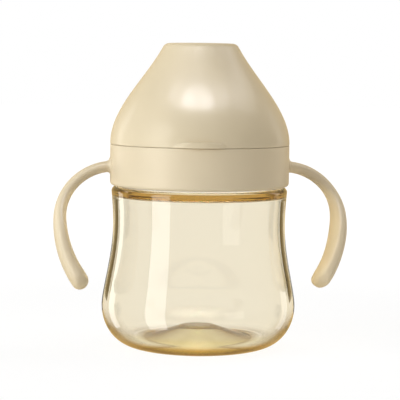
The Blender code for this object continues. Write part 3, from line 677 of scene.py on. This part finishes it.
def make_spout():
    angles = np.arange(SPOUT_STEPS) * math.tau / SPOUT_STEPS
    groove = SPOUT_HOLE - FIT_GAP
    flange = SPOUT_HOLE + SPOUT_FLANGE[0]
    flange_top = SPOUT_SEAT + SPOUT_FLANGE[1]
    groove_top = DECK_TOP + FIT_GAP
    neck_start = groove_top + SPOUT_FOOT_HEIGHT
    neck_end = SPOUT_TIP - SPOUT_TIP_ROUND

    def oval(wide, deep, z):
        return [(wide * math.cos(a), deep * math.sin(a), z) for a in angles]

    def neck(part, wall):
        share = float(smooth(part))
        wide = lerp(SPOUT_FOOT_RADIUS, SPOUT_TIP_HALF[0], share) - wall
        deep = lerp(SPOUT_FOOT_RADIUS, SPOUT_TIP_HALF[1], share) - wall
        return oval(wide, deep, lerp(neck_start, neck_end, part))

    parts = np.linspace(0.0, 1.0, SPOUT_ROWS)
    hollow = [neck(part, SPOUT_WALL) for part in parts[::-1]]
    hollow += [oval(SPOUT_BORE, SPOUT_BORE, z) for z in (groove_top, SPOUT_SEAT)]
    foot = [oval(r, r, z) for r, z in rounded([
        (SPOUT_BORE, SPOUT_SEAT), (flange, SPOUT_SEAT, EDGE_ROUND), (flange, flange_top, EDGE_ROUND),
        (groove, flange_top), (groove, groove_top), (SPOUT_FOOT_RADIUS, groove_top, SPOUT_FOOT_ROUND),
        (SPOUT_FOOT_RADIUS, neck_start)])[1:-1]]
    outside = [neck(part, 0.0) for part in parts]
    tip = []
    for inward, z in arc((0.0, neck_end), SPOUT_TIP_ROUND, 0, 90, steps=8)[1:]:
        taken = SPOUT_TIP_ROUND - inward
        tip.append(oval(SPOUT_TIP_HALF[0] - taken, SPOUT_TIP_HALF[1] - taken, z))
    spout = loft("drinking_spout", hollow + foot + outside + tip)
    slit = slab("slit", SPOUT_SLIT, (0.0, 0.0, SPOUT_TIP))
    return combine(spout, [slit], "DIFFERENCE")


def make_flow_valve():
    outer = SPOUT_BORE - FIT_GAP
    inner = outer - VALVE_WALL
    top = VALVE_SEAT + VALVE_HEIGHT
    ceiling = top - VALVE_WALL
    rim = SPOUT_BORE + VALVE_RIM[0]
    rim_top = VALVE_SEAT + VALVE_RIM[1]
    profile = rounded([(0.0, top), (outer, top, SOFT_ROUND), (outer, rim_top, CRISP_ROUND),
                       (rim, rim_top, SMALL_ROUND), (rim, VALVE_SEAT, SMALL_ROUND),
                       (inner, VALVE_SEAT, SMALL_ROUND), (inner, ceiling, SOFT_ROUND), (0.0, ceiling)])
    valve = lathe("cross_slit_valve", profile, SMALL_STEPS)
    place = (0.0, 0.0, top - VALVE_WALL / 2)
    width, depth = VALVE_SLIT
    cuts = [slab("slit_x", (inner, width, depth), place), slab("slit_y", (width, inner, depth), place)]
    return combine(valve, cuts, "DIFFERENCE")


def make_vent_valve():
    stem = VENT_STEM[0]
    stem_top = VENT_SEAT + VENT_STEM[1]
    knob_top = stem_top + VENT_KNOB[1]
    brim_top = VENT_SEAT + VENT_UMBRELLA[1]
    profile = rounded([(0.0, knob_top), (stem, knob_top, SMALL_ROUND), (VENT_KNOB[0], stem_top, CRISP_ROUND),
                       (stem, stem_top), (stem, brim_top), (VENT_UMBRELLA[0], brim_top, VENT_EDGE_ROUND),
                       (stem, VENT_SEAT, EDGE_ROUND), (0.0, VENT_SEAT)])
    valve = lathe("umbrella_valve", profile, SMALL_STEPS)
    valve.location.y = VENT_OFFSET
    return valve


def node(tree, kind, **inputs):
    """A new shader node with constants on its inputs, whose names have _ for a space."""
    made = tree.nodes.new(kind)
    for name, value in inputs.items():
        made.inputs[name.replace("_", " ")].default_value = value
    return made


def moulded(name, color, roughness, vary=0.04, grain=0.0, grain_size=0.25 * MM, **extra):
    """A moulded plastic: a faint flow in its colour and gloss, and a fine grain."""
    material = bpy.data.materials.new(name)
    material.use_nodes = True
    tree = material.node_tree
    shader = tree.nodes["Principled BSDF"]
    place = tree.nodes.new("ShaderNodeTexCoord")
    flow = node(tree, "ShaderNodeTexNoise", Scale=60.0, Detail=4.0, Roughness=0.55)
    tree.links.new(place.outputs["Object"], flow.inputs["Vector"])
    tint = tree.nodes.new("ShaderNodeMix")
    tint.data_type = "RGBA"
    tint.inputs["A"].default_value = (*[c * (1.0 - vary) for c in color], 1.0)
    tint.inputs["B"].default_value = (*[min(c * (1.0 + vary), 1.0) for c in color], 1.0)
    tree.links.new(flow.outputs["Fac"], tint.inputs["Factor"])
    tree.links.new(tint.outputs["Result"], shader.inputs["Base Color"])
    gloss = node(tree, "ShaderNodeMapRange", To_Min=roughness * 0.9, To_Max=roughness * 1.1)
    tree.links.new(flow.outputs["Fac"], gloss.inputs["Value"])
    tree.links.new(gloss.outputs["Result"], shader.inputs["Roughness"])
    if grain:
        fine = node(tree, "ShaderNodeTexNoise", Scale=1.0 / grain_size, Detail=2.0)
        tree.links.new(place.outputs["Object"], fine.inputs["Vector"])
        bump = node(tree, "ShaderNodeBump", Strength=grain, Distance=0.02 * MM)
        tree.links.new(fine.outputs["Fac"], bump.inputs["Height"])
        tree.links.new(bump.outputs["Normal"], shader.inputs["Normal"])
    for socket, value in extra.items():
        shader.inputs[socket.replace("_", " ")].default_value = value
    return material


def amber():
    """Clear amber plastic, deeper where the wall is thick: at the base, the heel and the shoulder's edge;
    near the base, painted shade darkens it where it is seen edge-on.
    """
    material = moulded("amber_clear", (1.0, 1.0, 1.0), roughness=0.012, vary=0.0)
    tree = material.node_tree
    shader = tree.nodes["Principled BSDF"]
    tint = tree.nodes.new("ShaderNodeVertexColor")
    tint.layer_name = "tint"
    # Painted shade: where the surface is seen edge-on, the tint is multiplied towards a dark colour, as much
    # as its alpha gives
    weight = node(tree, "ShaderNodeLayerWeight", Blend=0.5)
    grazing = node(tree, "ShaderNodeMapRange", From_Min=EDGE_FACING[0], From_Max=EDGE_FACING[1])
    edge = tree.nodes.new("ShaderNodeMath")
    edge.operation = "MULTIPLY"
    edge_shaded = tree.nodes.new("ShaderNodeMix")
    edge_shaded.data_type = "RGBA"
    edge_shaded.blend_type = "MULTIPLY"
    edge_shaded.inputs["B"].default_value = (*PAINTED_EDGE_SHADE, 1.0)
    inner_side = tree.nodes.new("ShaderNodeNewGeometry")
    light = tree.nodes.new("ShaderNodeLightPath")
    mirrored = tree.nodes.new("ShaderNodeMath")
    mirrored.operation = "MAXIMUM"
    mirrored.use_clamp = True
    leaving = tree.nodes.new("ShaderNodeMix")
    leaving.data_type = "RGBA"
    leaving.inputs["B"].default_value = (*LEAVING_TINT, 1.0)
    tree.links.new(weight.outputs["Facing"], grazing.inputs["Value"])
    tree.links.new(grazing.outputs["Result"], edge.inputs[0])
    tree.links.new(tint.outputs["Alpha"], edge.inputs[1])
    tree.links.new(edge.outputs["Value"], edge_shaded.inputs["Factor"])
    tree.links.new(tint.outputs["Color"], edge_shaded.inputs["A"])
    tree.links.new(inner_side.outputs["Backfacing"], mirrored.inputs[0])
    tree.links.new(light.outputs["Glossy Depth"], mirrored.inputs[1])
    tree.links.new(mirrored.outputs["Value"], leaving.inputs["Factor"])
    tree.links.new(edge_shaded.outputs["Result"], leaving.inputs["A"])
    tree.links.new(leaving.outputs["Result"], shader.inputs["Base Color"])
    shader.inputs["Transmission Weight"].default_value = 1.0
    shader.inputs["IOR"].default_value = AMBER_IOR
    soak = node(tree, "ShaderNodeVolumeAbsorption", Color=AMBER_SOAK, Density=AMBER_DENSITY)
    output = tree.nodes["Material Output"]
    tree.links.new(soak.outputs["Volume"], output.inputs["Volume"])
    clear = node(tree, "ShaderNodeBsdfTransparent", Color=AMBER_SHADE)
    choice = tree.nodes.new("ShaderNodeMixShader")
    tree.links.new(light.outputs["Is Shadow Ray"], choice.inputs["Fac"])
    tree.links.new(shader.outputs["BSDF"], choice.inputs[1])
    tree.links.new(clear.outputs["BSDF"], choice.inputs[2])
    tree.links.new(choice.outputs["Shader"], output.inputs["Surface"])
    return material


def dress(piece, body, replaced, material):
    piece.data.materials.clear()
    piece.data.materials.append(material)
    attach(piece, body)
    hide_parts(replaced)


def build_cup():
    cream_gloss = moulded("cream_gloss", CAP_CREAM, roughness=0.38, grain=0.03, grain_size=0.8 * MM,
                          Coat_Weight=0.3, Coat_Roughness=0.18, Specular_IOR_Level=0.12)
    cream_satin = moulded("cream_satin", CREAM, roughness=0.42, grain=0.12)
    white_satin = moulded("white_satin", WHITE, roughness=0.4, grain=0.12)
    silicone = moulded("silicone", SILICONE, roughness=0.5, grain=0.08, Transmission_Weight=0.3,
                       Subsurface_Weight=0.2, Subsurface_Scale=2 * MM)
    dress(make_bottle(), "bottle", "bottle", amber())
    dress(make_collar(), "collar", "handle_collar", cream_satin)
    dress(make_cap(), "cap", "dome_cap", cream_gloss)
    dress(make_cap_seal(), "cap", "cap_seal", silicone)
    dress(make_seal_ring(), "spout_unit", "seal_ring", silicone)
    dress(make_carrier(), "spout_unit", "spout_carrier", white_satin)
    dress(make_spout(), "spout_unit", "soft_spout", silicone)
    dress(make_flow_valve(), "spout_unit", "flow_valve", silicone)
    dress(make_vent_valve(), "spout_unit", "vent_valve", silicone)


def seen_directly(tree):
    """1 for rays from the camera or out of a clear piece, which see the plain white studio."""
    light = tree.nodes.new("ShaderNodeLightPath")
    most = tree.nodes.new("ShaderNodeMath")
    most.operation = "MAXIMUM"
    tree.links.new(light.outputs["Is Camera Ray"], most.inputs[0])
    tree.links.new(light.outputs["Is Transmission Ray"], most.inputs[1])
    return most.outputs["Value"]


def make_world():
    world = bpy.data.worlds.new("studio")
    bpy.context.scene.world = world
    world.use_nodes = True
    tree = world.node_tree
    ambient = tree.nodes["Background"]
    ambient.inputs["Color"].default_value = (1.0, 0.945, 0.84, 1.0)
    ambient.inputs["Strength"].default_value = 0.31
    room = node(tree, "ShaderNodeBackground", Color=(0.76, 0.54, 0.22, 1.0), Strength=1.0)
    white = node(tree, "ShaderNodeBackground", Color=(1.0, 1.0, 1.0, 1.0), Strength=1.0)
    light = tree.nodes.new("ShaderNodeLightPath")
    shown = ambient.outputs["Background"]
    for ray, backdrop in ((light.outputs["Is Glossy Ray"], room), (seen_directly(tree), white)):
        choice = tree.nodes.new("ShaderNodeMixShader")
        tree.links.new(ray, choice.inputs["Fac"])
        tree.links.new(shown, choice.inputs[1])
        tree.links.new(backdrop.outputs["Background"], choice.inputs[2])
        shown = choice.outputs["Shader"]
    tree.links.new(shown, tree.nodes["World Output"].inputs["Surface"])


def make_floor():
    """Pale and lit for other pieces, white with a shadow for the camera, plain white through clear pieces."""
    material = bpy.data.materials.new("studio_floor")
    material.use_nodes = True
    tree = material.node_tree
    tree.nodes.remove(tree.nodes["Principled BSDF"])
    light = tree.nodes.new("ShaderNodeLightPath")
    shown = node(tree, "ShaderNodeBsdfDiffuse", Color=(0.95, 0.95, 0.95, 1.0))
    faint = node(tree, "ShaderNodeBsdfDiffuse", Color=(0.12, 0.12, 0.12, 1.0))
    glow = node(tree, "ShaderNodeEmission", Color=(1.0, 1.0, 1.0, 1.0))
    place = tree.nodes.new("ShaderNodeTexCoord")
    away = tree.nodes.new("ShaderNodeVectorMath")
    away.operation = "LENGTH"
    fade = node(tree, "ShaderNodeMapRange", From_Min=0.15, From_Max=0.5, To_Min=0.89, To_Max=1.0)
    tree.links.new(place.outputs["Object"], away.inputs[0])
    tree.links.new(away.outputs["Value"], fade.inputs["Value"])
    tree.links.new(fade.outputs["Result"], glow.inputs["Strength"])
    seen = tree.nodes.new("ShaderNodeAddShader")
    tree.links.new(faint.outputs["BSDF"], seen.inputs[0])
    tree.links.new(glow.outputs["Emission"], seen.inputs[1])
    white = node(tree, "ShaderNodeEmission", Color=(1.0, 1.0, 1.0, 1.0), Strength=1.0)
    surfaces = (("Is Camera Ray", seen.outputs["Shader"]), ("Is Transmission Ray", white.outputs["Emission"]))
    for ray, surface in surfaces:
        choice = tree.nodes.new("ShaderNodeMixShader")
        tree.links.new(light.outputs[ray], choice.inputs["Fac"])
        tree.links.new(shown.outputs[0], choice.inputs[1])
        tree.links.new(surface, choice.inputs[2])
        shown = choice
    tree.links.new(shown.outputs["Shader"], tree.nodes["Material Output"].inputs["Surface"])
    half = 4.0
    corners = [(-half, -half, 0), (half, -half, 0), (half, half, 0), (-half, half, 0)]
    floor = new_piece("floor", corners, [(0, 1, 2, 3)])
    floor.location.z = -0.2 * MM  # just below the standing ring
    floor.visible_glossy = False
    floor.data.materials.append(material)


def around(azimuth, elevation, distance, middle):
    """A place seen from the middle at angles in degrees: azimuth 0 is the camera's side, + its right."""
    a = math.radians(azimuth) + VIEW_AZIMUTH
    e = math.radians(elevation)
    away = Vector((math.sin(a) * math.cos(e), -math.cos(a) * math.cos(e), math.sin(e)))
    return Vector(middle) + away * distance


def lamp(name, place, target, size, power, shape="RECTANGLE"):
    data = bpy.data.lights.new(name, "AREA")
    data.shape = shape
    data.size, data.size_y = size
    data.energy = power
    light = bpy.data.objects.new(name, data)
    bpy.context.scene.collection.objects.link(light)
    light.location = place
    light.rotation_euler = (Vector(target) - light.location).to_track_quat("-Z", "Y").to_euler()
    light.visible_camera = light.visible_transmission = False
    return light


def soft(name, azimuth, elevation, power, color=(1.0, 1.0, 1.0)):
    """A large lamp that lights the plastics without showing as a reflection."""
    light = lamp(name, around(azimuth, elevation, SOFT_DISTANCE, MIDDLE), MIDDLE, SOFT_SIZE, power)
    light.data.color = color
    light.visible_glossy = False


def shine(name, azimuth, elevation, distance, size, power):
    """A lamp that only shows as a reflection."""
    light = lamp(name, around(azimuth, elevation, distance, MIDDLE), MIDDLE, size, power)
    light.visible_diffuse = False


def dome_glow(name, turn, power):
    """A small lamp close over the cap, on the arc that the front of the dome reflects at one height."""
    behind = around(180, 0, GLOW_SET_BACK, (0.0, 0.0, GLOW_HEIGHT))
    target = around(turn * GLOW_TARGET_TURN, 0, GLOW_TARGET, (0.0, 0.0, DOME_HEIGHT))
    light = lamp(name, around(turn, 0, GLOW_REACH, behind), target, GLOW_SIZE, power, "ELLIPSE")
    light.data.color = GLOW_COLOR
    light.visible_diffuse = False


def card(name, azimuth, distance, width, low, high, material, seen_by):
    """An upright card that shows in one way only: through clear pieces, or as a reflection."""
    foot = around(azimuth, 0.0, distance, (0.0, 0.0, 0.0))
    across = Vector((-foot.y, foot.x, 0.0)).normalized() * width / 2
    foot.z = low
    up = Vector((0.0, 0.0, high - low))
    corners = [foot - across, foot + across, foot + across + up, foot - across + up]
    piece = new_piece(name, corners, [(0, 1, 2, 3)])
    piece.data.materials.append(material)
    for ray in ("camera", "diffuse", "glossy", "transmission", "shadow", "volume_scatter"):
        setattr(piece, "visible_" + ray, ray == seen_by)


def make_cards():
    black = bpy.data.materials.new("black_card")
    black.use_nodes = True
    shader = black.node_tree.nodes["Principled BSDF"]
    shader.inputs["Base Color"].default_value = (0.008, 0.007, 0.004, 1.0)
    shader.inputs["Specular IOR Level"].default_value = 0.0
    for side, turn in (("left", 1), ("right", -1)):
        card(side + "_flag", azimuth=180 + 37 * turn, distance=0.2, width=0.068, low=0.0, high=0.052,
             material=black, seen_by="transmission")
        card(side + "_edge_flag", azimuth=180 + 18 * turn, distance=0.25, width=0.1, low=-0.03, high=0.02,
             material=black, seen_by="glossy")


def make_lights():
    soft("key", azimuth=-60, elevation=20, power=7.9, color=(0.95, 0.985, 1.0))
    soft("front_fill", azimuth=5, elevation=20, power=0.8)
    soft("back_top", azimuth=120, elevation=60, power=4.0)
    for turn, power in DOME_GLOWS:
        dome_glow(f"dome_glow_{turn}", turn, power)
    dome_right = around(40, 0, DOME_RADIUS, (0.0, 0.0, DOME_HEIGHT))
    place = around(104, 44, 0.09, dome_right)
    light = lamp("side_glow", place, dome_right, size=(0.08, 0.03), power=0.012, shape="ELLIPSE")
    light.visible_diffuse = False
    shine("left_strip", azimuth=-50, elevation=0, distance=0.6, size=(0.27, 0.9), power=2.5)
    shine("left_rim", azimuth=-122, elevation=0, distance=0.8, size=(0.2, 0.9), power=1.2)
    shine("right_window", azimuth=42, elevation=-7, distance=0.6, size=(0.24, 0.14), power=0.1)
    shine("right_rim", azimuth=122, elevation=0, distance=0.8, size=(0.2, 0.9), power=0.6)
    data = bpy.data.lights.new("inner_fill", "POINT")
    data.energy = 0.06
    data.shadow_soft_size = 8 * MM
    fill = bpy.data.objects.new("inner_fill", data)
    fill.location = (0.0, 0.0, 66 * MM)
    fill.visible_camera = fill.visible_glossy = fill.visible_transmission = False
    bpy.context.scene.collection.objects.link(fill)


def make_camera():
    data = bpy.data.cameras.new("camera")
    data.lens = LENS
    data.sensor_width = SENSOR
    data.clip_start = CLIP_START
    camera = bpy.data.objects.new("camera", data)
    bpy.context.scene.collection.objects.link(camera)
    right = VIEW_DISTANCE * math.sin(VIEW_AZIMUTH)
    back = VIEW_DISTANCE * math.cos(VIEW_AZIMUTH)
    camera.location = (right, -back, VIEW_HEIGHT)
    level = Euler((math.pi / 2 - VIEW_PITCH, 0.0, VIEW_AZIMUTH - VIEW_YAW)).to_matrix()
    camera.rotation_euler = (level @ Matrix.Rotation(VIEW_ROLL, 3, "Z")).to_euler()
    bpy.context.scene.camera = camera


bpy.context.scene.view_settings.view_transform = "Standard"
bpy.context.scene.cycles.max_bounces = 64
bpy.context.scene.cycles.glossy_bounces = 60
bpy.context.scene.cycles.transmission_bounces = 60
make_camera()
make_world()
make_floor()
make_cards()
make_lights()
build_cup()
